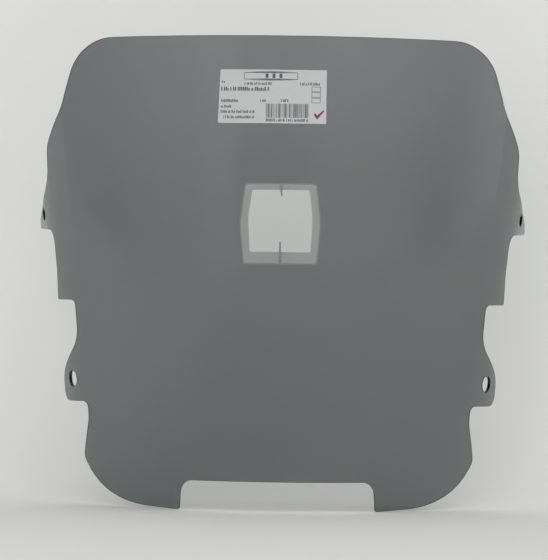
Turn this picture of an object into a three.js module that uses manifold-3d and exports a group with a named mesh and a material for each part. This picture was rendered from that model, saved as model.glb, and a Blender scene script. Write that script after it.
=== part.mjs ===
// Replacement windscreen for a touring motorcycle: one thermoformed sheet of tinted acrylic,
// with a paper stock label on its outer face. Millimetres, +Z up. The screen stands upright on
// its two bottom lobes, with its outer, convex face towards -Y. The origin is at the middle of
// its box, on the plane that it stands on.
//
// Every outline is drawn on the sheet's flat pattern: "across" runs from the centreline to the
// right as seen from the front, and "up" runs along the sheet from the bottom. formedPoint()
// then gives the place of each pattern point on the formed screen.

import * as THREE from 'three';
import { mergeVertices } from 'three/addons/utils/BufferGeometryUtils.js';
import Module from 'manifold-3d';

const wasm = await Module();
wasm.setup();

// Sheet and form. A level section is a broad front arc, a tighter side arc and a straight flank,
// and it changes evenly from the bottom of the pattern to the top.
const SHEET_THICKNESS = 3;
const PATTERN_HEIGHT = 454;
const FRONT_RADIUS = { bottom: 294, top: 426 };
const FRONT_REACH = { bottom: 146.5, top: 204.5 };
const SIDE_RADIUS = 115;
const FLANK_DEGREES = { bottom: 58.5, top: 83 };
const CENTRELINE_RADIUS = 1500;

// Mounting ears: screw holes in small pads that are pressed flat, so that a washer can seat.
const UPPER_HOLE = { across: 281.5, up: 285, radius: 6.5 };
const LOWER_HOLE = { across: 224.5, up: 125, radius: 8 };
const PAD_MARGIN = 3.5;
const PAD_BLEND = 10;

// Right half of the trimmed edge, from the notch at the bottom to the top edge. Each corner is
// [across, up, corner radius].
const TOP_EDGE = PATTERN_HEIGHT;
const HALF_OUTLINE = [
  [92.5, 33, 13], // notch between the bottom lobes
  [94.5, 4.5, 1.5],
  [148, 7.5, 110], // underside of the lobe
  [190, 27, 60],
  [210, 50, 10],
  [198, 88, 40],
  [199, 104, 7],
  [248, 102.5, 12], // lower ear
  [248, 131, 22],
  [211, 163, 26],
  [213.5, 201.5, 6],
  [249, 201.5, 2], // step below the upper ear
  [246.5, 232, 50],
  [250, 269, 14],
  [304, 271, 2.5], // upper ear
  [303.5, 281, 7],
  [257, 316, 28],
  [256, 350, 25],
  [228, 387, 60], // the side leans in above the ear
  [202.5, TOP_EDGE, 52],
];

// Ventilation window, with a short nib of sheet left at the middle of its top and bottom edges.
const WINDOW_OUTLINE = [
  [-28.5, 249.5, 2],
  [-0.9, 249.5, 0.3],
  [-0.7, 259, 0.6],
  [0.7, 259, 0.6],
  [0.9, 249.5, 0.3],
  [28.5, 249.5, 2],
  [30.2, 282, 80],
  [26.7, 307.5, 2],
  [1.2, 307.5, 0.3],
  [1.7, 302, 0.6],
  [0.4, 302, 0.6],
  [-0.6, 307.5, 0.3],
  [-26.7, 307.5, 2],
  [-30.2, 282, 80],
];

// Rebate milled into the inner face around the window, for a vent flap to seat in. A bridge of
// full thickness is left across it to each nib.
const REBATE_SHEET_LEFT = 1.3;
const REBATE_OUTLINE = [
  [-34.3, 238, 3],
  [-1.2, 238, 0.3],
  [-1.2, 262, 0.3],
  [1.2, 262, 0.3],
  [1.2, 238, 0.3],
  [34.3, 238, 3],
  [38, 276, 80],
  [33.3, 313, 3],
  [1.5, 313, 0.3],
  [2.1, 299, 0.3],
  [-0.2, 299, 0.3],
  [-1.2, 313, 0.3],
  [-33.3, 313, 3],
  [-38, 276, 80],
];

// Stock label, laid a little to one side of the centreline.
const LABEL_SIZE = { across: 100, up: 51 };
const LABEL_CENTRE = { across: -8.5, up: 395.5 };
const LABEL_CORNER_RADIUS = 1;
const LABEL_THICKNESS = 0.3;
const LABEL_GAP = 0.3;

// Facets. The grid is finer across the side arcs, where the sheet bends most.
const FRONT_STEP = 20;
const SIDE_STEP = 8;
const UP_STEP = 38;
const ARC_STEP = THREE.MathUtils.degToRad(15);
const GRID_LIMIT = 330;

// A length or angle that changes evenly from the bottom of the pattern to the top.
function atHeight(range, up) {
  return THREE.MathUtils.lerp(range.bottom, range.top, up / PATTERN_HEIGHT);
}

// Bends a pattern point into the screen's curve, on its outer face.
function bentPoint(across, up) {
  const frontRadius = atHeight(FRONT_RADIUS, up);
  const frontReach = atHeight(FRONT_REACH, up);
  const flankAngle = THREE.MathUtils.degToRad(atHeight(FLANK_DEGREES, up));
  const frontAngle = frontReach / frontRadius;
  const sideReach = SIDE_RADIUS * (flankAngle - frontAngle);
  const distance = Math.abs(across);

  const frontTurn = Math.min(distance, frontReach) / frontRadius;
  const sideTurn = THREE.MathUtils.clamp(distance - frontReach, 0, sideReach) / SIDE_RADIUS;
  const flank = Math.max(distance - frontReach - sideReach, 0);
  const turn = frontTurn + sideTurn;
  const x = frontRadius * Math.sin(frontTurn)
    + SIDE_RADIUS * (Math.sin(turn) - Math.sin(frontTurn))
    + flank * Math.cos(turn);
  const y = frontRadius * (1 - Math.cos(frontTurn))
    + SIDE_RADIUS * (Math.cos(frontTurn) - Math.cos(turn))
    + flank * Math.sin(turn);

  const middle = PATTERN_HEIGHT / 2;
  const lean = (up - middle) / CENTRELINE_RADIUS;
  return new THREE.Vector3(
    Math.sign(across) * x,
    y + CENTRELINE_RADIUS * (1 - Math.cos(lean)),
    middle + CENTRELINE_RADIUS * Math.sin(lean),
  );
}

// Directions of the sheet at a pattern point, one along "across" and one along "up".
function directions(surface, across, up) {
  const step = 0.5;
  const alongAcross = surface(across + step, up).sub(surface(across - step, up));
  const alongUp = surface(across, up + step).sub(surface(across, up - step));
  return [alongAcross.divideScalar(2 * step), alongUp.divideScalar(2 * step)];
}

// The four pads, each with the plane that its part of the sheet is pressed to.
const pads = [UPPER_HOLE, LOWER_HOLE].flatMap((hole) => [-1, 1].map((side) => {
  const across = side * hole.across;
  const [alongAcross, alongUp] = directions(bentPoint, across, hole.up);
  return {
    across,
    up: hole.up,
    radius: hole.radius,
    padRadius: hole.radius + PAD_MARGIN,
    centre: bentPoint(across, hole.up),
    alongAcross,
    alongUp,
  };
}));

// Place of a pattern point on the formed screen's outer face.
function formedPoint(across, up) {
  const point = bentPoint(across, up);
  for (const pad of pads) {
    const distance = Math.hypot(across - pad.across, up - pad.up);
    const share = 1 - THREE.MathUtils.smoothstep(distance, pad.padRadius + 0.01, pad.padRadius + PAD_BLEND);
    if (share > 0) {
      const flat = pad.centre.clone()
        .addScaledVector(pad.alongAcross, across - pad.across)
        .addScaledVector(pad.alongUp, up - pad.up);
      point.lerp(flat, share);
    }
  }
  return point;
}

// Outward normal of the formed screen. On a pad it is the pad's own, so the pad is truly flat.
function formedNormal(across, up) {
  const pad = pads.find((p) => Math.hypot(across - p.across, up - p.up) < p.padRadius + 0.01);
  const [alongAcross, alongUp] = pad
    ? [pad.alongAcross, pad.alongUp]
    : directions(formedPoint, across, up);
  return new THREE.Vector3().crossVectors(alongAcross, alongUp).normalize();
}

// Points of a closed outline whose corners are rounded by tangent arcs.
function roundedOutline(corners) {
  const points = [];
  corners.forEach(([x, y, radius], i) => {
    const corner = new THREE.Vector2(x, y);
    const [beforeX, beforeY] = corners.at(i - 1);
    const [afterX, afterY] = corners[(i + 1) % corners.length];
    const arriving = corner.clone().sub(new THREE.Vector2(beforeX, beforeY)).normalize();
    const leaving = new THREE.Vector2(afterX, afterY).sub(corner).normalize();
    const turn = Math.atan2(arriving.cross(leaving), arriving.dot(leaving));
    const side = Math.sign(turn);
    const start = corner.clone().addScaledVector(arriving, -radius * Math.tan(Math.abs(turn) / 2));
    const toCentre = new THREE.Vector2(-arriving.y, arriving.x).multiplyScalar(side * radius);
    const centre = start.clone().add(toCentre);
    const steps = Math.max(1, Math.ceil(Math.abs(turn) / ARC_STEP));
    for (let step = 0; step <= steps; step += 1) {
      points.push(start.clone().rotateAround(centre, (turn * step) / steps));
    }
  });
  return points;
}

// The trimmed edge: the right half, then its mirror image back down the left.
function screenShape() {
  const left = HALF_OUTLINE.map(([across, up, radius]) => [-across, up, radius]).reverse();
  const shape = new THREE.Shape(roundedOutline([...HALF_OUTLINE, ...left]));
  shape.holes.push(new THREE.Path(roundedOutline(WINDOW_OUTLINE)));
  for (const pad of pads) {
    shape.holes.push(new THREE.Path(circlePoints(pad.across, pad.up, pad.radius)));
  }
  return shape;
}

function circlePoints(across, up, radius) {
  const count = Math.round((2 * Math.PI) / ARC_STEP);
  return Array.from({ length: count }, (_, i) => {
    const angle = (i + 0.5) * ARC_STEP;
    return new THREE.Vector2(across + radius * Math.cos(angle), up + radius * Math.sin(angle));
  });
}

function labelShape() {
  const halfAcross = LABEL_SIZE.across / 2;
  const halfUp = LABEL_SIZE.up / 2;
  const corners = [[-1, -1], [1, -1], [1, 1], [-1, 1]].map(([sideAcross, sideUp]) => [
    LABEL_CENTRE.across + sideAcross * halfAcross,
    LABEL_CENTRE.up + sideUp * halfUp,
    LABEL_CORNER_RADIUS,
  ]);
  return new THREE.Shape(roundedOutline(corners));
}

function solidOf(geometry) {
  const plain = geometry.clone();
  plain.deleteAttribute('normal');
  plain.deleteAttribute('uv');
  const merged = mergeVertices(plain);
  return new wasm.Manifold(new wasm.Mesh({
    numProp: 3,
    vertProperties: new Float32Array(merged.attributes.position.array),
    triVerts: new Uint32Array(merged.index.array),
  }));
}

// Unbent plate of a pattern shape, 1 mm thick. Only its outline matters.
function plateOf(shape) {
  return solidOf(new THREE.ExtrudeGeometry(shape, { depth: 1, bevelEnabled: false }));
}

function boxBetween(lowAcross, highAcross, lowUp, highUp) {
  const box = new THREE.BoxGeometry(highAcross - lowAcross, highUp - lowUp, 4);
  box.translate((lowAcross + highAcross) / 2, (lowUp + highUp) / 2, 0);
  return solidOf(box);
}

// Grid lines across the pattern, the same on both sides of the centreline.
function acrossLines() {
  const lines = [];
  for (let line = FRONT_STEP / 2; line < GRID_LIMIT; line += line < FRONT_REACH.bottom ? FRONT_STEP : SIDE_STEP) {
    lines.push(line);
  }
  return [...lines.map((line) => -line).reverse(), ...lines];
}

function upLines() {
  const lines = [];
  for (let line = -UP_STEP / 2; line < PATTERN_HEIGHT + UP_STEP; line += UP_STEP) {
    lines.push(line);
  }
  return lines;
}

// Cuts plates into grid cells and gathers the triangles of their top faces as pattern points.
function patternTriangles(plates) {
  const across = acrossLines();
  const up = upLines();
  const points = [];
  const indexOf = new Map();
  const triangles = [];
  const pointIndex = (x, y) => {
    const key = `${Math.round(x * 1000)},${Math.round(y * 1000)}`;
    if (!indexOf.has(key)) {
      indexOf.set(key, points.length);
      points.push([x, y]);
    }
    return indexOf.get(key);
  };
  for (const plate of plates) {
    for (let column = 0; column + 1 < across.length; column += 1) {
      const strip = plate.intersect(boxBetween(across[column], across[column + 1], up[0], up.at(-1)));
      for (let row = 0; row + 1 < up.length; row += 1) {
        const cell = strip.intersect(boxBetween(across[column], across[column + 1], up[row], up[row + 1]));
        const { triVerts, vertProperties } = cell.getMesh();
        for (let corner = 0; corner < triVerts.length; corner += 3) {
          const vertices = [0, 1, 2].map((k) => {
            const at = 3 * triVerts[corner + k];
            return vertProperties.slice(at, at + 3);
          });
          if (vertices.every((vertex) => vertex[2] > 0.5)) {
            triangles.push(vertices.map((vertex) => pointIndex(vertex[0], vertex[1])));
          }
        }
      }
    }
  }
  return { points, triangles: triangles.filter(([a, b, c]) => a !== b && b !== c && c !== a) };
}

// Closed sheet over pattern triangles. Its outer face stands `standoff` proud of the screen's.
function sheetGeometry({ points, triangles }, standoff, thickness) {
  const positions = [];
  for (const depth of [0, thickness]) {
    for (const [across, up] of points) {
      const place = formedPoint(across, up);
      place.addScaledVector(formedNormal(across, up), standoff - depth);
      positions.push(...place.toArray());
    }
  }
  const inner = points.length;
  const indices = [];
  const edges = new Map();
  for (const [a, b, c] of triangles) {
    indices.push(a, b, c, inner + a, inner + c, inner + b);
    for (const [from, to] of [[a, b], [b, c], [c, a]]) {
      edges.set(`${from},${to}`, [from, to]);
    }
  }
  for (const [from, to] of edges.values()) {
    if (!edges.has(`${to},${from}`)) {
      indices.push(to, from, inner + from, to, inner + from, inner + to);
    }
  }
  const geometry = new THREE.BufferGeometry();
  geometry.setAttribute('position', new THREE.Float32BufferAttribute(positions, 3));
  geometry.setIndex(indices);
  geometry.computeVertexNormals();
  return geometry;
}

function geometryOf(solid) {
  const { vertProperties, triVerts } = solid.getMesh();
  const geometry = new THREE.BufferGeometry();
  geometry.setAttribute('position', new THREE.Float32BufferAttribute(vertProperties, 3));
  geometry.setIndex([...triVerts]);
  geometry.computeVertexNormals();
  return geometry;
}

// What the rebate takes away: a bent plate that starts inside the sheet and ends behind it.
function rebateCut() {
  const pattern = patternTriangles([plateOf(new THREE.Shape(roundedOutline(REBATE_OUTLINE)))]);
  return solidOf(sheetGeometry(pattern, -REBATE_SHEET_LEFT, SHEET_THICKNESS));
}

function screenPanel() {
  const plate = plateOf(screenShape());
  const padPlates = pads.map((pad) => plateOf(
    new THREE.Shape(circlePoints(pad.across, pad.up, pad.padRadius)),
  ));
  const padPieces = padPlates.map((padPlate) => plate.intersect(padPlate));
  const rest = padPlates.reduce((left, padPlate) => left.subtract(padPlate), plate);
  const material = new THREE.MeshStandardMaterial({ color: 0x6a7073, roughness: 0.08, metalness: 0 });
  const pattern = patternTriangles([rest, ...padPieces]);
  const sheet = solidOf(sheetGeometry(pattern, 0, SHEET_THICKNESS));
  const mesh = new THREE.Mesh(geometryOf(sheet.subtract(rebateCut())), material);
  mesh.name = 'screen_panel';
  return mesh;
}

function label() {
  const pattern = patternTriangles([plateOf(labelShape())]);
  const geometry = sheetGeometry(pattern, LABEL_GAP + LABEL_THICKNESS, LABEL_THICKNESS);
  const material = new THREE.MeshStandardMaterial({ color: 0xd9dade, roughness: 0.6, metalness: 0 });
  const mesh = new THREE.Mesh(geometry, material);
  mesh.name = 'label';
  return mesh;
}

const windscreen = new THREE.Group();
windscreen.add(screenPanel(), label());

// Stands the screen on the origin.
const box = new THREE.Box3().setFromObject(windscreen);
const centre = box.getCenter(new THREE.Vector3());
windscreen.position.set(-centre.x, -centre.y, -box.min.z);
windscreen.updateMatrixWorld(true);

export default windscreen;
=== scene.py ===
import math
import random

import bpy
import numpy as np
from mathutils import Matrix, Vector
from mathutils.geometry import delaunay_2d_cdt


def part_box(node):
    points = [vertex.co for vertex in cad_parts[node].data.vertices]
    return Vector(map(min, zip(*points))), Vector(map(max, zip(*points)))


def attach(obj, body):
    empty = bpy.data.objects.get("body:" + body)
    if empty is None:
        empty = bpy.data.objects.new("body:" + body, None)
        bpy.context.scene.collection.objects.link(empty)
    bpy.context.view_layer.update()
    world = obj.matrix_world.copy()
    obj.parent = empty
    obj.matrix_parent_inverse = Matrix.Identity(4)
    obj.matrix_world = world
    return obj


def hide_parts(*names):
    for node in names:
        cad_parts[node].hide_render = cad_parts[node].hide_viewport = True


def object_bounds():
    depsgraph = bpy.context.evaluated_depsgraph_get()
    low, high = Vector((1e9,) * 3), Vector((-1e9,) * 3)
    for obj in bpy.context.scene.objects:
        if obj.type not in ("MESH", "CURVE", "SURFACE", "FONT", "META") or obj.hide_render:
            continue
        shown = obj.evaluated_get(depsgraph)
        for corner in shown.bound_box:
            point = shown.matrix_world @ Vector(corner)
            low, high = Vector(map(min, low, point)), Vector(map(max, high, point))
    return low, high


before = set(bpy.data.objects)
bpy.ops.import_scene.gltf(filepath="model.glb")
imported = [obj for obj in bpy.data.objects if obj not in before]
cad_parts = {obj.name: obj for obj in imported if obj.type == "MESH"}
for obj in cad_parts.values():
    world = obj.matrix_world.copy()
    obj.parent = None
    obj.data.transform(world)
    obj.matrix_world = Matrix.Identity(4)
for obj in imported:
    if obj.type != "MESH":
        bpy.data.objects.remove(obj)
cad_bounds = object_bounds()

# The screen is drawn on its flat pattern in millimetres, as in the CAD model: "across" runs from
# the centreline to the right, "up" runs along the sheet from the bottom.
MM = 0.001
SHEET_THICKNESS = 3.0
PATTERN_HEIGHT = 454.0

# How the sheet is bent. A pair holds at the bottom and at the top of the pattern.
FRONT_RADIUS = (294.0, 426.0)
FRONT_REACH = (146.5, 204.5)  # from the centreline to where the tighter side bend starts
SIDE_RADIUS = 115.0
FLANK_DEGREES = (58.5, 83.0)  # how far the flanks have turned away from the front
CENTRELINE_RADIUS = 1500.0

# Screw holes as (across, up, radius), and outline corners as (across, up, corner radius).
HOLES = [(281.5, 285.0, 6.5), (224.5, 125.0, 8.0)]
HALF_OUTLINE = [
    (92.5, 33, 13),
    (94.5, 4.5, 1.5),
    (148, 7.5, 118),
    (190, 27, 100),
    (210, 50, 10),
    (198, 88, 40),
    (199, 104, 7),
    (248, 102.5, 12),
    (248, 131, 22),
    (211, 163, 26),
    (213.5, 201.5, 6),
    (249, 201.5, 2),
    (246.5, 232, 50),
    (250, 269, 14),
    (304, 271, 2.5),
    (303.5, 281, 7),
    (257, 316, 28),
    (256, 350, 25),
    (228, 387, 60),
    (202.5, PATTERN_HEIGHT, 52),
]
WINDOW_OUTLINE = [
    (-28.5, 249.5, 2),
    (-0.9, 249.5, 0.3),
    (-0.7, 259, 0.6),
    (0.7, 259, 0.6),
    (0.9, 249.5, 0.3),
    (28.5, 249.5, 2),
    (30.2, 282, 80),
    (26.7, 307.5, 2),
    (1.2, 307.5, 0.3),
    (1.7, 302, 0.6),
    (0.4, 302, 0.6),
    (-0.6, 307.5, 0.3),
    (-26.7, 307.5, 2),
    (-30.2, 282, 80),
]
REBATE_SHEET_LEFT = 1.3
REBATE_OUTLINE = [
    (-34.3, 238, 3),
    (-0.6, 238, 0.3),
    (-0.6, 262, 0.3),
    (0.6, 262, 0.3),
    (0.6, 238, 0.3),
    (34.3, 238, 3),
    (38, 276, 80),
    (33.3, 313, 3),
    (0.9, 313, 0.3),
    (1.5, 299, 0.3),
    (0.4, 299, 0.3),
    (-0.6, 313, 0.3),
    (-33.3, 313, 3),
    (-38, 276, 80),
]
REBATE_SHOULDER = (-1.6, 2.0)  # where its soft shoulder starts and ends, inwards from the outline

LABEL_SIZE = (100.0, 51.0)
LABEL_CENTRE = (-8.5, 395.5)
LABEL_CORNER_RADIUS = 1.0
LABEL_FLARE = 1.035  # its left edge was cut on a slant, so that its lower edge is longer
LABEL_THICKNESS = 0.12
LABEL_STANDOFF = 0.15
EDGE_LIFT = (22.5, 3.0, 0.25)  # how far below the label's middle it starts, its run and its rise
CORNER_LIFT = (66.0, 9.0, 0.7)  # the same, towards the lower left corner

# Fineness of the meshes.
GRID_STEP = 5.0
OUTLINE_STEP = 4.0
LABEL_STEP = 2.5
FINE_STEP = 1.0
ARC_STEP = math.radians(6)
SHOULDER_LINES = 7  # lines of points that follow the shoulder of the rebate
SHOULDER_CLEARANCE = 3.5  # how far the grid stays from the rebate's outline
HOLE_RINGS = (1.8, 4.0)  # how far the rings of points around a hole are from its rim
PANEL_CLEARANCE = 0.75  # how far points inside the panel stay from its edges
LABEL_CLEARANCE = 0.3
EDGE_RADIUS = 0.45
EDGE_TURNS = [math.radians(a) for a in (0, 30, 60, 90)]


# ---------------------------------------------------------------- form of the screen

def at_height(ends, up):
    """A length or angle that changes evenly from the bottom of the pattern to the top."""
    bottom, top = ends
    return bottom + (top - bottom) * up / PATTERN_HEIGHT


def formed(across, up):
    """Places on the outer face of the bent sheet."""
    front_radius = at_height(FRONT_RADIUS, up)
    front_reach = at_height(FRONT_REACH, up)
    flank_angle = np.radians(at_height(FLANK_DEGREES, up))
    side_reach = SIDE_RADIUS * (flank_angle - front_reach / front_radius)
    distance = np.abs(across)
    front_turn = np.minimum(distance, front_reach) / front_radius
    turn = front_turn + np.clip(distance - front_reach, 0, side_reach) / SIDE_RADIUS
    flank = np.maximum(distance - front_reach - side_reach, 0)
    x = front_radius * np.sin(front_turn) + SIDE_RADIUS * (np.sin(turn) - np.sin(front_turn))
    y = front_radius * (1 - np.cos(front_turn)) + SIDE_RADIUS * (np.cos(front_turn) - np.cos(turn))
    middle = PATTERN_HEIGHT / 2
    lean = (up - middle) / CENTRELINE_RADIUS
    return np.stack([
        np.sign(across) * (x + flank * np.cos(turn)),
        y + flank * np.sin(turn) + CENTRELINE_RADIUS * (1 - np.cos(lean)),
        middle + CENTRELINE_RADIUS * np.sin(lean),
    ], axis=-1)


def smoothstep(value, low, high):
    share = np.clip((value - low) / (high - low), 0, 1)
    return share * share * (3 - 2 * share)


def form_axes(across, up):
    """Unit vectors along "across" and "up", and the outward normal."""
    step = 0.5
    along = formed(across + step, up) - formed(across - step, up)
    upward = formed(across, up + step) - formed(across, up - step)
    along = along / np.linalg.norm(along, axis=1, keepdims=True)
    normal = np.cross(along, upward)
    normal /= np.linalg.norm(normal, axis=1, keepdims=True)
    return along, np.cross(normal, along), normal


# ---------------------------------------------------------------- outlines on the pattern

def rounded_outline(corners, straight_step):
    """A closed outline with tangent arcs at its corners and points along its straights."""
    corners = [(np.array(c[:2], float), c[2]) for c in corners]
    arcs = []
    for i, (corner, radius) in enumerate(corners):
        arriving = corner - corners[i - 1][0]
        leaving = corners[(i + 1) % len(corners)][0] - corner
        arriving = arriving / np.linalg.norm(arriving)
        leaving = leaving / np.linalg.norm(leaving)
        turn = math.atan2(arriving[0] * leaving[1] - arriving[1] * leaving[0], arriving @ leaving)
        side = math.copysign(1, turn)
        start = corner - arriving * radius * math.tan(abs(turn) / 2)
        centre = start + side * radius * np.array([-arriving[1], arriving[0]])
        steps = max(2, math.ceil(abs(turn) / ARC_STEP), math.ceil(abs(turn) * radius / straight_step))
        arm = start - centre
        arcs.append([
            centre + np.array([
                arm[0] * math.cos(a) - arm[1] * math.sin(a),
                arm[0] * math.sin(a) + arm[1] * math.cos(a),
            ])
            for a in (turn * step / steps for step in range(steps + 1))
        ])
    points = []
    for i, arc in enumerate(arcs):
        points.extend(arc)
        gap = arcs[(i + 1) % len(arcs)][0] - arc[-1]
        count = int(np.linalg.norm(gap) // straight_step)
        points.extend(arc[-1] + gap * k / (count + 1) for k in range(1, count + 1))
    return np.array(points)


def circle(across, up, radius):
    count = 48
    angles = 2 * math.pi * np.arange(count) / count
    return np.stack([across + radius * np.cos(angles), up + radius * np.sin(angles)], axis=1)


def outward(loop, material_inside):
    """The way out of the material at each point of an anticlockwise outline.

    It is scaled so that an outline moved along it keeps its distance.
    """
    before = loop - np.roll(loop, 1, axis=0)
    after = np.roll(loop, -1, axis=0) - loop
    before /= np.linalg.norm(before, axis=1, keepdims=True)
    after /= np.linalg.norm(after, axis=1, keepdims=True)
    tangent = before + after
    tangent /= np.linalg.norm(tangent, axis=1, keepdims=True)
    way = np.stack([tangent[:, 1], -tangent[:, 0]], axis=1)
    lengthen = 1 / np.maximum(np.sum(tangent * after, axis=1), 0.5)
    return way * lengthen[:, None] * (1 if material_inside else -1)


def distance_and_side(points, loops):
    """Distance from each point to the nearest outline, and whether it lies inside.

    A point lies inside if an odd number of outlines runs around it.
    """
    starts = np.concatenate(loops)
    ends = np.concatenate([np.roll(loop, -1, axis=0) for loop in loops])
    run = ends - starts
    distances, inside = [], []
    for chunk in np.array_split(points, max(1, len(points) // 2000)):
        offset = chunk[:, None] - starts
        share = np.clip(np.sum(offset * run, axis=2) / np.sum(run * run, axis=1), 0, 1)
        distances.append(np.linalg.norm(offset - share[..., None] * run, axis=2).min(axis=1))
        spans = (starts[:, 1] > chunk[:, None, 1]) != (ends[:, 1] > chunk[:, None, 1])
        rise = np.where(run[:, 1] == 0, 1, run[:, 1])
        crossing = starts[:, 0] + (chunk[:, None, 1] - starts[:, 1]) * run[:, 0] / rise
        inside.append((np.sum(spans & (crossing > chunk[:, None, 0]), axis=1) % 2) == 1)
    return np.concatenate(distances), np.concatenate(inside)


REBATE = rounded_outline(REBATE_OUTLINE, FINE_STEP)


def sheet_depth(pattern):
    """Thickness of the panel at pattern points: thinner in the rebate, with a rounded shoulder."""
    depth = np.full(len(pattern), SHEET_THICKNESS)
    low = REBATE.min(axis=0) + REBATE_SHOULDER[0]
    high = REBATE.max(axis=0) - REBATE_SHOULDER[0]
    close = np.all((pattern > low) & (pattern < high), axis=1)
    if close.any():
        distance, inside = distance_and_side(pattern[close], [REBATE])
        share = smoothstep(np.where(inside, distance, -distance), *REBATE_SHOULDER)
        depth[close] -= (SHEET_THICKNESS - REBATE_SHEET_LEFT) * share
    return depth


# ---------------------------------------------------------------- meshes

def lattice(low, high, step):
    columns = np.arange(math.floor(low[0] / step), math.ceil(high[0] / step) + 1) * step
    rows = np.arange(math.floor(low[1] / step), math.ceil(high[1] / step) + 1) * step
    return np.stack(np.meshgrid(columns, rows), axis=-1).reshape(-1, 2)


NO_HEIGHT = 1e-4  # a triangle lower than this is a stretch of a straight
MERGE_DISTANCE = 1e-5
WHOLE_HULL = 0  # asks for every triangle within the convex hull


def in_material(points, triangles, loops):
    """Which triangles are in the material.

    A triangle of no height, along a straight of an outline, goes with the one across its longest side.
    """
    corners = points[triangles]
    _, kept = distance_and_side(corners.mean(axis=1), loops)
    sides = np.linalg.norm(np.roll(corners, -1, axis=1) - corners, axis=2)
    one, other = corners[:, 1] - corners[:, 0], corners[:, 2] - corners[:, 0]
    height = np.abs(one[:, 0] * other[:, 1] - one[:, 1] * other[:, 0]) / sides.max(axis=1)
    along = {}
    for index, triangle in enumerate(triangles):
        for k in range(3):
            along.setdefault(frozenset((triangle[k], triangle[(k + 1) % 3])), []).append(index)
    flat = np.flatnonzero(height < NO_HEIGHT)
    for index in sorted(flat, key=lambda thin: -sides[thin].max()):
        k = sides[index].argmax()
        longest = frozenset((triangles[index][k], triangles[index][(k + 1) % 3]))
        kept[index] = any(kept[neighbour] for neighbour in along[longest] if neighbour != index)
    return kept


def triangulated(loops, prints, extra, clearance):
    """Triangles of the material between outlines, split along closed print shapes.

    The extra points are used where they lie clear of both. Returns the points, the triangles, and
    which point each outline point became.
    """
    distance, inside = distance_and_side(extra, loops)
    kept = inside & (distance > clearance)
    if prints:
        kept &= distance_and_side(extra, prints)[0] > clearance
    points = np.concatenate(loops + prints + [extra[kept]])
    edges = []
    first = 0
    for loop in loops + prints:
        edges.extend((first + k, first + (k + 1) % len(loop)) for k in range(len(loop)))
        first += len(loop)
    found = delaunay_2d_cdt([tuple(p) for p in points], edges, [], WHOLE_HULL, MERGE_DISTANCE)
    became = {source: target for target, sources in enumerate(found[3]) for source in sources}
    points = np.array([tuple(p) for p in found[0]])
    triangles = np.array(found[2])
    kept = in_material(points, triangles, loops)
    outline = np.array([became[k] for k in range(sum(len(loop) for loop in loops))])
    return points, triangles[kept], outline


class Sheet:
    """A bent sheet of some thickness over pattern outlines, with finely rounded edges."""

    def __init__(self, loops, prints, extra, clearance, standoff, thickness, edge_radius):
        """loops are (outline, material_inside) pairs.

        standoff, how far the front stands proud of the form, and thickness are functions of pattern points.
        """
        self.places, self.normals, self.faces = [], [], []
        self.standoff, self.thickness = standoff, thickness
        ways = [outward(loop, inside) for loop, inside in loops]
        inset = [loop - way * edge_radius for (loop, _), way in zip(loops, ways)]
        self.pattern, self.triangles, outline = triangulated(inset, prints, extra, clearance)
        front = self.add(self.pattern, 0, 1)
        back = self.add(self.pattern, thickness(self.pattern), -1)
        self.faces.extend(map(tuple, self.triangles + front))
        self.faces.extend(map(tuple, self.triangles[:, ::-1] + back))
        first = 0
        for (loop, inside), way in zip(loops, ways):
            ends = outline[first:first + len(loop)]
            rings = [ends + front]
            rings += [self.ring(loop, way, edge_radius, turn, 1) for turn in EDGE_TURNS[1:]]
            rings += [self.ring(loop, way, edge_radius, turn, -1) for turn in reversed(EDGE_TURNS[1:])]
            rings.append(ends + back)
            self.join(rings, inside)
            first += len(loop)

    def add(self, pattern, depth, side):
        """Adds points below the front, with normals out of the front (side 1) or the back (side -1)."""
        start = sum(len(p) for p in self.places)
        along, upward, normal = form_axes(*pattern.T)
        proud = self.standoff(pattern) - depth
        self.places.append(formed(*pattern.T) + normal * proud[:, None])
        height = self.standoff if side > 0 else lambda place: self.standoff(place) - self.thickness(place)
        slope = self.slope(height, pattern)
        normal = normal - along * slope[0][:, None] - upward * slope[1][:, None]
        self.normals.append(side * normal / np.linalg.norm(normal, axis=1, keepdims=True))
        return start

    @staticmethod
    def slope(height, pattern):
        """How a height above the form changes along "across" and along "up"."""
        step = 0.05
        return [
            (height(pattern + move) - height(pattern - move)) / (2 * step)
            for move in (np.array([step, 0]), np.array([0, step]))
        ]

    def ring(self, loop, way, radius, turn, side):
        """One ring of the rounded edge, turned by an angle from the front or the back towards the edge."""
        pattern = loop - way * radius * (1 - math.sin(turn))
        rise = radius * (1 - math.cos(turn))
        depth = np.full(len(loop), rise) if side > 0 else self.thickness(loop) - rise
        start = self.add(pattern, depth, side)
        along, upward, _ = form_axes(*loop.T)
        level = way / np.linalg.norm(way, axis=1, keepdims=True)
        out = along * level[:, :1] + upward * level[:, 1:]
        self.normals[-1] = self.normals[-1] * math.cos(turn) + out * math.sin(turn)
        return np.arange(len(loop)) + start

    def join(self, rings, anticlockwise):
        for upper, lower in zip(rings, rings[1:]):
            for k in range(len(upper)):
                following = (k + 1) % len(upper)
                face = (upper[following], upper[k], lower[k], lower[following])
                self.faces.append(face if anticlockwise else face[::-1])

    def made_as(self, name, shift):
        """The sheet as a piece of the scene, moved by a shift in metres."""
        mesh = bpy.data.meshes.new(name)
        places = np.concatenate(self.places) * MM + shift
        mesh.from_pydata(places.tolist(), [], [tuple(map(int, f)) for f in self.faces], shade_flat=False)
        mesh.normals_split_custom_set_from_vertices(np.concatenate(self.normals).tolist())
        piece = bpy.data.objects.new(name, mesh)
        bpy.context.scene.collection.objects.link(piece)
        return piece


def screen_outline():
    """The trimmed edge: the right half, then its mirror image back down the left."""
    left = [(-across, up, radius) for across, up, radius in reversed(HALF_OUTLINE)]
    return rounded_outline(HALF_OUTLINE + left, OUTLINE_STEP)


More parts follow.
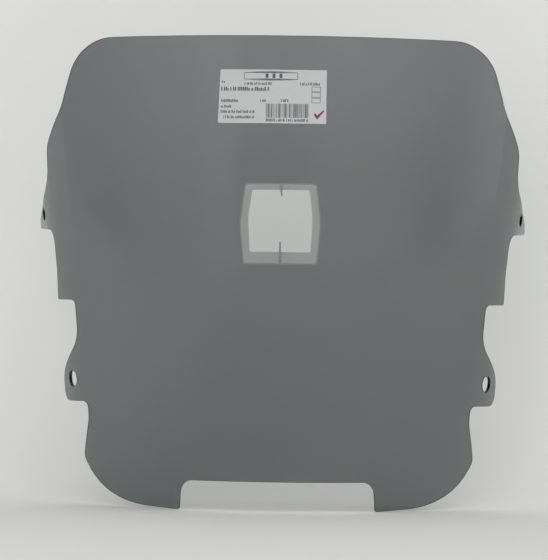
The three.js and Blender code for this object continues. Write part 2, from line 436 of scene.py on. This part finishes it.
def frame_shift():
    """Moves the formed pattern to where the frame holds the panel."""
    low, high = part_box("screen_panel")
    edge = screen_outline().T
    outer = formed(*edge)
    both = np.concatenate([outer, outer - form_axes(*edge)[2] * SHEET_THICKNESS]) * MM
    return np.array([0, high.y - both[:, 1].max(), low.z - both[:, 2].min()])


def screen_panel(shift):
    """The tinted sheet, with its window, rebate and screw holes."""
    loops = [
        (screen_outline(), True),
        (rounded_outline(WINDOW_OUTLINE, FINE_STEP), False),
    ]
    holes = [(side * across, up, radius) for across, up, radius in HOLES for side in (-1, 1)]
    loops += [(circle(*hole), False) for hole in holes]
    outline = loops[0][0]
    points = lattice(outline.min(axis=0), outline.max(axis=0), GRID_STEP)
    away, within = distance_and_side(points, [REBATE])
    extra = [points[(away > SHOULDER_CLEARANCE) & ~within]]
    way = outward(REBATE, True)
    extra += [REBATE - way * inwards for inwards in np.linspace(*REBATE_SHOULDER, SHOULDER_LINES)]
    extra += [circle(across, up, radius + rim) for across, up, radius in holes for rim in HOLE_RINGS]
    sheet = Sheet(loops, [], np.concatenate(extra), PANEL_CLEARANCE,
                  lambda place: np.zeros(len(place)), sheet_depth, EDGE_RADIUS)
    return sheet.made_as("windscreen_panel", shift)


# ---------------------------------------------------------------- label

def text_line(left, top, width, height, weight, rng):
    """A row of small blocks that reads as print from afar, as (left, top, width, height)."""
    blocks = []
    place = left
    while place < left + width - 0.6:
        block = rng.uniform(0.7, 1.3) * weight
        drop = rng.choice((0, 0, 0.18, 0.3)) * height
        blocks.append((place, top + drop, block, height - drop))
        place += block + rng.choice((0.3, 0.35, 0.35, 1.1)) * weight
    return blocks


def frame_lines(left, top, width, height, line):
    """The four lines of an empty box."""
    return [
        (left, top, width, line),
        (left, top + height - line, width, line),
        (left, top + line, line, height - 2 * line),
        (left + width - line, top + line, line, height - 2 * line),
    ]


def bar_code(left, top, width, height, rng):
    bars = []
    place = left
    while place < left + width - 1.5:
        bar = rng.choice((0.35, 0.35, 0.7, 1.1))
        bars.append((place, top, bar, height))
        place += bar + rng.choice((0.3, 0.45, 0.75))
    return bars


def label_print():
    """Where the label is printed, in millimetres from its top left corner. All of it is generic."""
    rng = random.Random(7)
    dark = [(left, 3.9, 2.8, 4.2) for left in (42.6, 49.1, 55.6)]
    dark += text_line(0.9, 16.7, 45, 3.7, 1.35, rng)
    grey = frame_lines(22.5, 2.6, 50.5, 6.9, 0.55)
    for left, top, width in (
        (23, 12, 25.5), (75, 12, 19), (1.3, 10.4, 4.5), (1.2, 28.4, 17), (38, 28.2, 6), (57.5, 28, 6.5),
        (0.9, 33.8, 10), (0.7, 38.8, 32), (3.5, 43.9, 28.5), (43.5, 46.6, 40),
    ):
        grey += text_line(left, top, width, 2.7, 0.95, rng)
    grey += bar_code(43.5, 32.4, 41, 13.3, rng)
    for row in range(3):
        grey += frame_lines(86, 15.9 + 5.3 * row, 8.4, 4.9, 0.5)
    return {"ink": dark, "grey_ink": grey}


def tick_mark():
    """A hand-drawn tick, as a closed outline from the label's top left corner."""
    return [(88.2, 42.3), (89.6, 40.8), (91.3, 43.2), (97.3, 37.9), (98.2, 38.9), (91.4, 46.9)]


def label_lift(pattern):
    """The paper lies on the sheet, and its lower edge and one corner have come up a little."""
    across, up = (pattern - np.array(LABEL_CENTRE)).T
    lift = LABEL_STANDOFF
    for distance, (start, run, rise) in ((-up, EDGE_LIFT), (-across - up, CORNER_LIFT)):
        lift = lift + rise * (np.maximum(distance - start, 0) / run) ** 2
    return lift


def label(shift):
    """The paper label, bent with the sheet, with its print as faces of their own."""
    half = np.array(LABEL_SIZE) / 2
    centre = np.array(LABEL_CENTRE)
    corners = [(*(centre + half * side), LABEL_CORNER_RADIUS)
               for side in ((-LABEL_FLARE, -1), (1, -1), (1, 1), (-1, 1))]
    top_left = centre + half * (-1, 1)
    printed, inks = [], []
    for ink, blocks in label_print().items():
        for left, top, width, height in blocks:
            box = [(left, top + height), (left + width, top + height), (left + width, top), (left, top)]
            printed.append(top_left + np.array(box) * (1, -1))
            inks.append(ink)
    printed.append(top_left + np.array(tick_mark()) * (1, -1))
    inks.append("red_ink")
    points = lattice(centre - half, centre + half, LABEL_STEP)
    sheet = Sheet([(rounded_outline(corners, LABEL_STEP), True)], printed, points, LABEL_CLEARANCE,
                  label_lift, lambda place: np.full(len(place), LABEL_THICKNESS), LABEL_THICKNESS / 3)
    piece = sheet.made_as("stock_label", shift)
    finishes = list(PRINT_FINISHES)
    for name in finishes:
        piece.data.materials.append(paper_finish(name, *PRINT_FINISHES[name]))
    middles = sheet.pattern[sheet.triangles].mean(axis=1)
    for shape, ink in zip(printed, inks):
        _, inside = distance_and_side(middles, [shape])
        for face in np.flatnonzero(inside):
            piece.data.polygons[int(face)].material_index = finishes.index(ink)
    return piece


# ---------------------------------------------------------------- materials

def material(name):
    made = bpy.data.materials.new(name)
    made.use_nodes = True
    nodes = made.node_tree.nodes
    nodes.clear()
    return made, nodes, made.node_tree.links


def unevenness(nodes, links, scale, detail):
    """Noise that is fixed to the object, from 0 to 1."""
    place = nodes.new("ShaderNodeTexCoord")
    noise = nodes.new("ShaderNodeTexNoise")
    noise.inputs["Scale"].default_value = scale
    noise.inputs["Detail"].default_value = detail
    links.new(place.outputs["Object"], noise.inputs["Vector"])
    return noise.outputs["Fac"]


def vary(nodes, links, share, low, high, socket):
    """Lets a socket run between two numbers or two colours."""
    blend = nodes.new("ShaderNodeMix")
    blend.data_type = "RGBA" if socket.type == "RGBA" else "FLOAT"
    blend.inputs["A"].default_value = low
    blend.inputs["B"].default_value = high
    links.new(share, blend.inputs["Factor"])
    links.new(blend.outputs["Result"], socket)


def tinted_acrylic():
    """Smoke acrylic: clear, polished, and darkened by what it absorbs. It is not quite even."""
    made, nodes, links = material("tinted_acrylic")
    output = nodes.new("ShaderNodeOutputMaterial")
    glass = nodes.new("ShaderNodeBsdfPrincipled")
    glass.inputs["Transmission Weight"].default_value = 1
    glass.inputs["IOR"].default_value = 1.49
    vary(nodes, links, unevenness(nodes, links, 9, 2),
         (0.88, 0.9, 0.895, 1), (1, 1, 1, 1), glass.inputs["Base Color"])
    vary(nodes, links, unevenness(nodes, links, 160, 5), 0.015, 0.055, glass.inputs["Roughness"])
    through = nodes.new("ShaderNodeBsdfTransparent")
    path = nodes.new("ShaderNodeLightPath")
    mix = nodes.new("ShaderNodeMixShader")
    links.new(path.outputs["Is Shadow Ray"], mix.inputs[0])
    links.new(glass.outputs[0], mix.inputs[1])
    links.new(through.outputs[0], mix.inputs[2])
    links.new(mix.outputs[0], output.inputs["Surface"])
    absorb = nodes.new("ShaderNodeVolumeAbsorption")
    absorb.inputs["Color"].default_value = (0.495, 0.515, 0.523, 1)
    absorb.inputs["Density"].default_value = 850
    links.new(absorb.outputs[0], output.inputs["Volume"])
    return made


PRINT_FINISHES = {
    "label_paper": ((0.59, 0.595, 0.605), 0.55),
    "ink": ((0.1, 0.1, 0.11), 0.45),
    "grey_ink": ((0.12, 0.12, 0.13), 0.45),
    "red_ink": ((0.17, 0.035, 0.055), 0.4),
}


def paper_finish(name, colour, roughness):
    """Paper, bare or printed, with fibres that show in its colour and its surface."""
    made, nodes, links = material(name)
    output = nodes.new("ShaderNodeOutputMaterial")
    paper = nodes.new("ShaderNodeBsdfPrincipled")
    fibres = unevenness(nodes, links, 900, 4)
    dark, pale = ([c * shade for c in colour] + [1] for shade in (0.93, 1.07))
    vary(nodes, links, fibres, dark, pale, paper.inputs["Base Color"])
    bump = nodes.new("ShaderNodeBump")
    bump.inputs["Strength"].default_value = 0.15
    bump.inputs["Distance"].default_value = 0.0001
    links.new(fibres, bump.inputs["Height"])
    links.new(bump.outputs["Normal"], paper.inputs["Normal"])
    paper.inputs["Roughness"].default_value = roughness
    links.new(paper.outputs[0], output.inputs["Surface"])
    return made


def backdrop_paper(name, one_sided):
    """Matt pale paper, not quite even. A one-sided backdrop lets light and sight through from behind."""
    made, nodes, links = material(name)
    output = nodes.new("ShaderNodeOutputMaterial")
    paper = nodes.new("ShaderNodeBsdfDiffuse")
    vary(nodes, links, unevenness(nodes, links, 3, 3),
         (0.87, 0.875, 0.865, 1), (0.93, 0.935, 0.925, 1), paper.inputs["Color"])
    if not one_sided:
        links.new(paper.outputs[0], output.inputs["Surface"])
        return made
    through = nodes.new("ShaderNodeBsdfTransparent")
    geometry = nodes.new("ShaderNodeNewGeometry")
    mix = nodes.new("ShaderNodeMixShader")
    links.new(geometry.outputs["Backfacing"], mix.inputs[0])
    links.new(paper.outputs[0], mix.inputs[1])
    links.new(through.outputs[0], mix.inputs[2])
    links.new(mix.outputs[0], output.inputs["Surface"])
    return made


# ---------------------------------------------------------------- stage, lights and camera

STAGE_HALF_WIDTH = 5.0
SWEEP_START = 0.04
SWEEP_RADIUS = 0.315
WALL_TOP = 4.0


def stage_sheet(name, profile, paper):
    """A sheet as wide as the stage, along a profile of (y, z) points."""
    mesh = bpy.data.meshes.new(name)
    points = [(side * STAGE_HALF_WIDTH, y, z) for y, z in profile for side in (-1, 1)]
    faces = [(2 * k, 2 * k + 1, 2 * k + 3, 2 * k + 2) for k in range(len(profile) - 1)]
    mesh.from_pydata(points, [], faces, shade_flat=False)
    mesh.materials.append(paper)
    sheet = bpy.data.objects.new(name, mesh)
    bpy.context.scene.collection.objects.link(sheet)
    return sheet


def make_stage():
    steps = 24
    cove = [
        (SWEEP_START + SWEEP_RADIUS * math.sin(a), SWEEP_RADIUS * (1 - math.cos(a)))
        for a in (math.pi / 2 * k / steps for k in range(steps + 1))
    ]
    profile = [(-STAGE_HALF_WIDTH, 0)] + cove + [(SWEEP_START + SWEEP_RADIUS, WALL_TOP)]
    stage_sheet("backdrop", profile, backdrop_paper("backdrop_paper", True))
    under = -0.0006
    stage_sheet("floor", [(-STAGE_HALF_WIDTH, under), (STAGE_HALF_WIDTH, under)],
                backdrop_paper("floor_paper", False))


def look_along(direction, roll=0):
    """Rotation of a lamp or camera that looks along a direction."""
    turn = Vector(direction).to_track_quat("-Z", "Y").to_matrix()
    return (turn @ Matrix.Rotation(roll, 3, "Z")).to_euler()


HORIZON = 0.7  # as bright as the floor seen from afar, so that no line shows in the reflections
HORIZON_BLUR = (-0.045, 0.04)  # between these heights the room takes over from the horizon
ROOM = [  # degrees round from the front towards +X, and brightness: walls, windows and doorways
    (-180, 0.8), (-100, 0.66), (-78, 0.3), (-60, 0.18), (-30, 0.72), (-22, 1.04), (-16, 1.04),
    (-12, 0.7), (0, 0.72), (15, 0.94), (30, 0.84), (50, 0.4), (68, 0.95), (95, 1.2), (180, 0.8),
]
ROOM_SCALE = 1.25  # the brightness that the top of the colour ramp stands for


def make_room():
    """The room around: it lights the stage and shows in the sheet as soft upright bands."""
    world = bpy.data.worlds.new("room")
    world.use_nodes = True
    nodes, links = world.node_tree.nodes, world.node_tree.links

    def maths(operation, one, other):
        node = nodes.new("ShaderNodeMath")
        node.operation = operation
        for socket, value in zip(node.inputs, (one, other)):
            if isinstance(value, (int, float)):
                socket.default_value = value
            else:
                links.new(value, socket)
        return node.outputs[0]

    place = nodes.new("ShaderNodeTexCoord")
    parts = nodes.new("ShaderNodeSeparateXYZ")
    links.new(place.outputs["Generated"], parts.inputs[0])
    heading = maths("ARCTAN2", parts.outputs["X"], maths("MULTIPLY", parts.outputs["Y"], -1))
    bands = nodes.new("ShaderNodeValToRGB")
    bands.color_ramp.interpolation = "EASE"
    stops = bands.color_ramp.elements
    for degrees, _ in ROOM[1:-1]:
        stops.new(degrees / 360 + 0.5)
    for stop, (_, brightness) in zip(stops, ROOM):
        stop.color = (*[brightness / ROOM_SCALE] * 3, 1)
    links.new(maths("ADD", maths("DIVIDE", heading, math.tau), 0.5), bands.inputs[0])
    above = nodes.new("ShaderNodeMapRange")
    above.interpolation_type = "SMOOTHSTEP"
    above.inputs["From Min"].default_value = HORIZON_BLUR[0]
    above.inputs["From Max"].default_value = HORIZON_BLUR[1]
    links.new(parts.outputs["Z"], above.inputs["Value"])
    strength = nodes.new("ShaderNodeMix")
    strength.inputs["A"].default_value = HORIZON
    links.new(above.outputs["Result"], strength.inputs["Factor"])
    links.new(maths("MULTIPLY", bands.outputs["Color"], ROOM_SCALE), strength.inputs["B"])
    background = nodes["Background"]
    background.inputs["Color"].default_value = (1.0, 1.0, 0.99, 1)
    links.new(strength.outputs["Result"], background.inputs["Strength"])
    bpy.context.scene.world = world


def make_lamp():
    """A broad, very soft light from the front."""
    data = bpy.data.lights.new("front_light", "SUN")
    data.energy = 0.56
    data.angle = math.radians(35)
    lamp = bpy.data.objects.new("front_light", data)
    lamp.rotation_euler = look_along((0.12, 1, -0.14))
    lamp.visible_glossy = False
    lamp.visible_transmission = False
    bpy.context.scene.collection.objects.link(lamp)


CAMERA_DISTANCE = 2.2  # from the front-most point of the sheet
CAMERA_HEIGHT = 0.223
CAMERA_SIDE = math.radians(0.75)  # how far round to the right the camera stands
CAMERA_AIM = (math.radians(-0.16), math.radians(-0.13))  # turned to the left and down from level
CAMERA_ROLL = math.radians(0.78)
CAMERA_LENS = 151.8


def make_camera():
    low, high = cad_bounds
    data = bpy.data.cameras.new("camera")
    data.lens = CAMERA_LENS
    data.sensor_width = 36
    camera = bpy.data.objects.new("camera", data)
    bpy.context.scene.collection.objects.link(camera)
    reach = CAMERA_DISTANCE - low[1]
    camera.location = (reach * math.sin(CAMERA_SIDE), -reach * math.cos(CAMERA_SIDE), CAMERA_HEIGHT)
    heading = CAMERA_AIM[0] - CAMERA_SIDE
    direction = (math.sin(heading), math.cos(heading), math.tan(CAMERA_AIM[1]))
    camera.rotation_euler = look_along(direction, CAMERA_ROLL)
    bpy.context.scene.camera = camera


def main():
    bpy.context.scene.view_settings.view_transform = "Standard"
    shift = frame_shift()
    panel = screen_panel(shift)
    panel.data.materials.append(tinted_acrylic())
    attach(panel, "root")
    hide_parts("screen_panel")
    paper = label(shift)
    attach(paper, "root")
    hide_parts("label")
    make_stage()
    make_room()
    make_lamp()
    make_camera()


main()
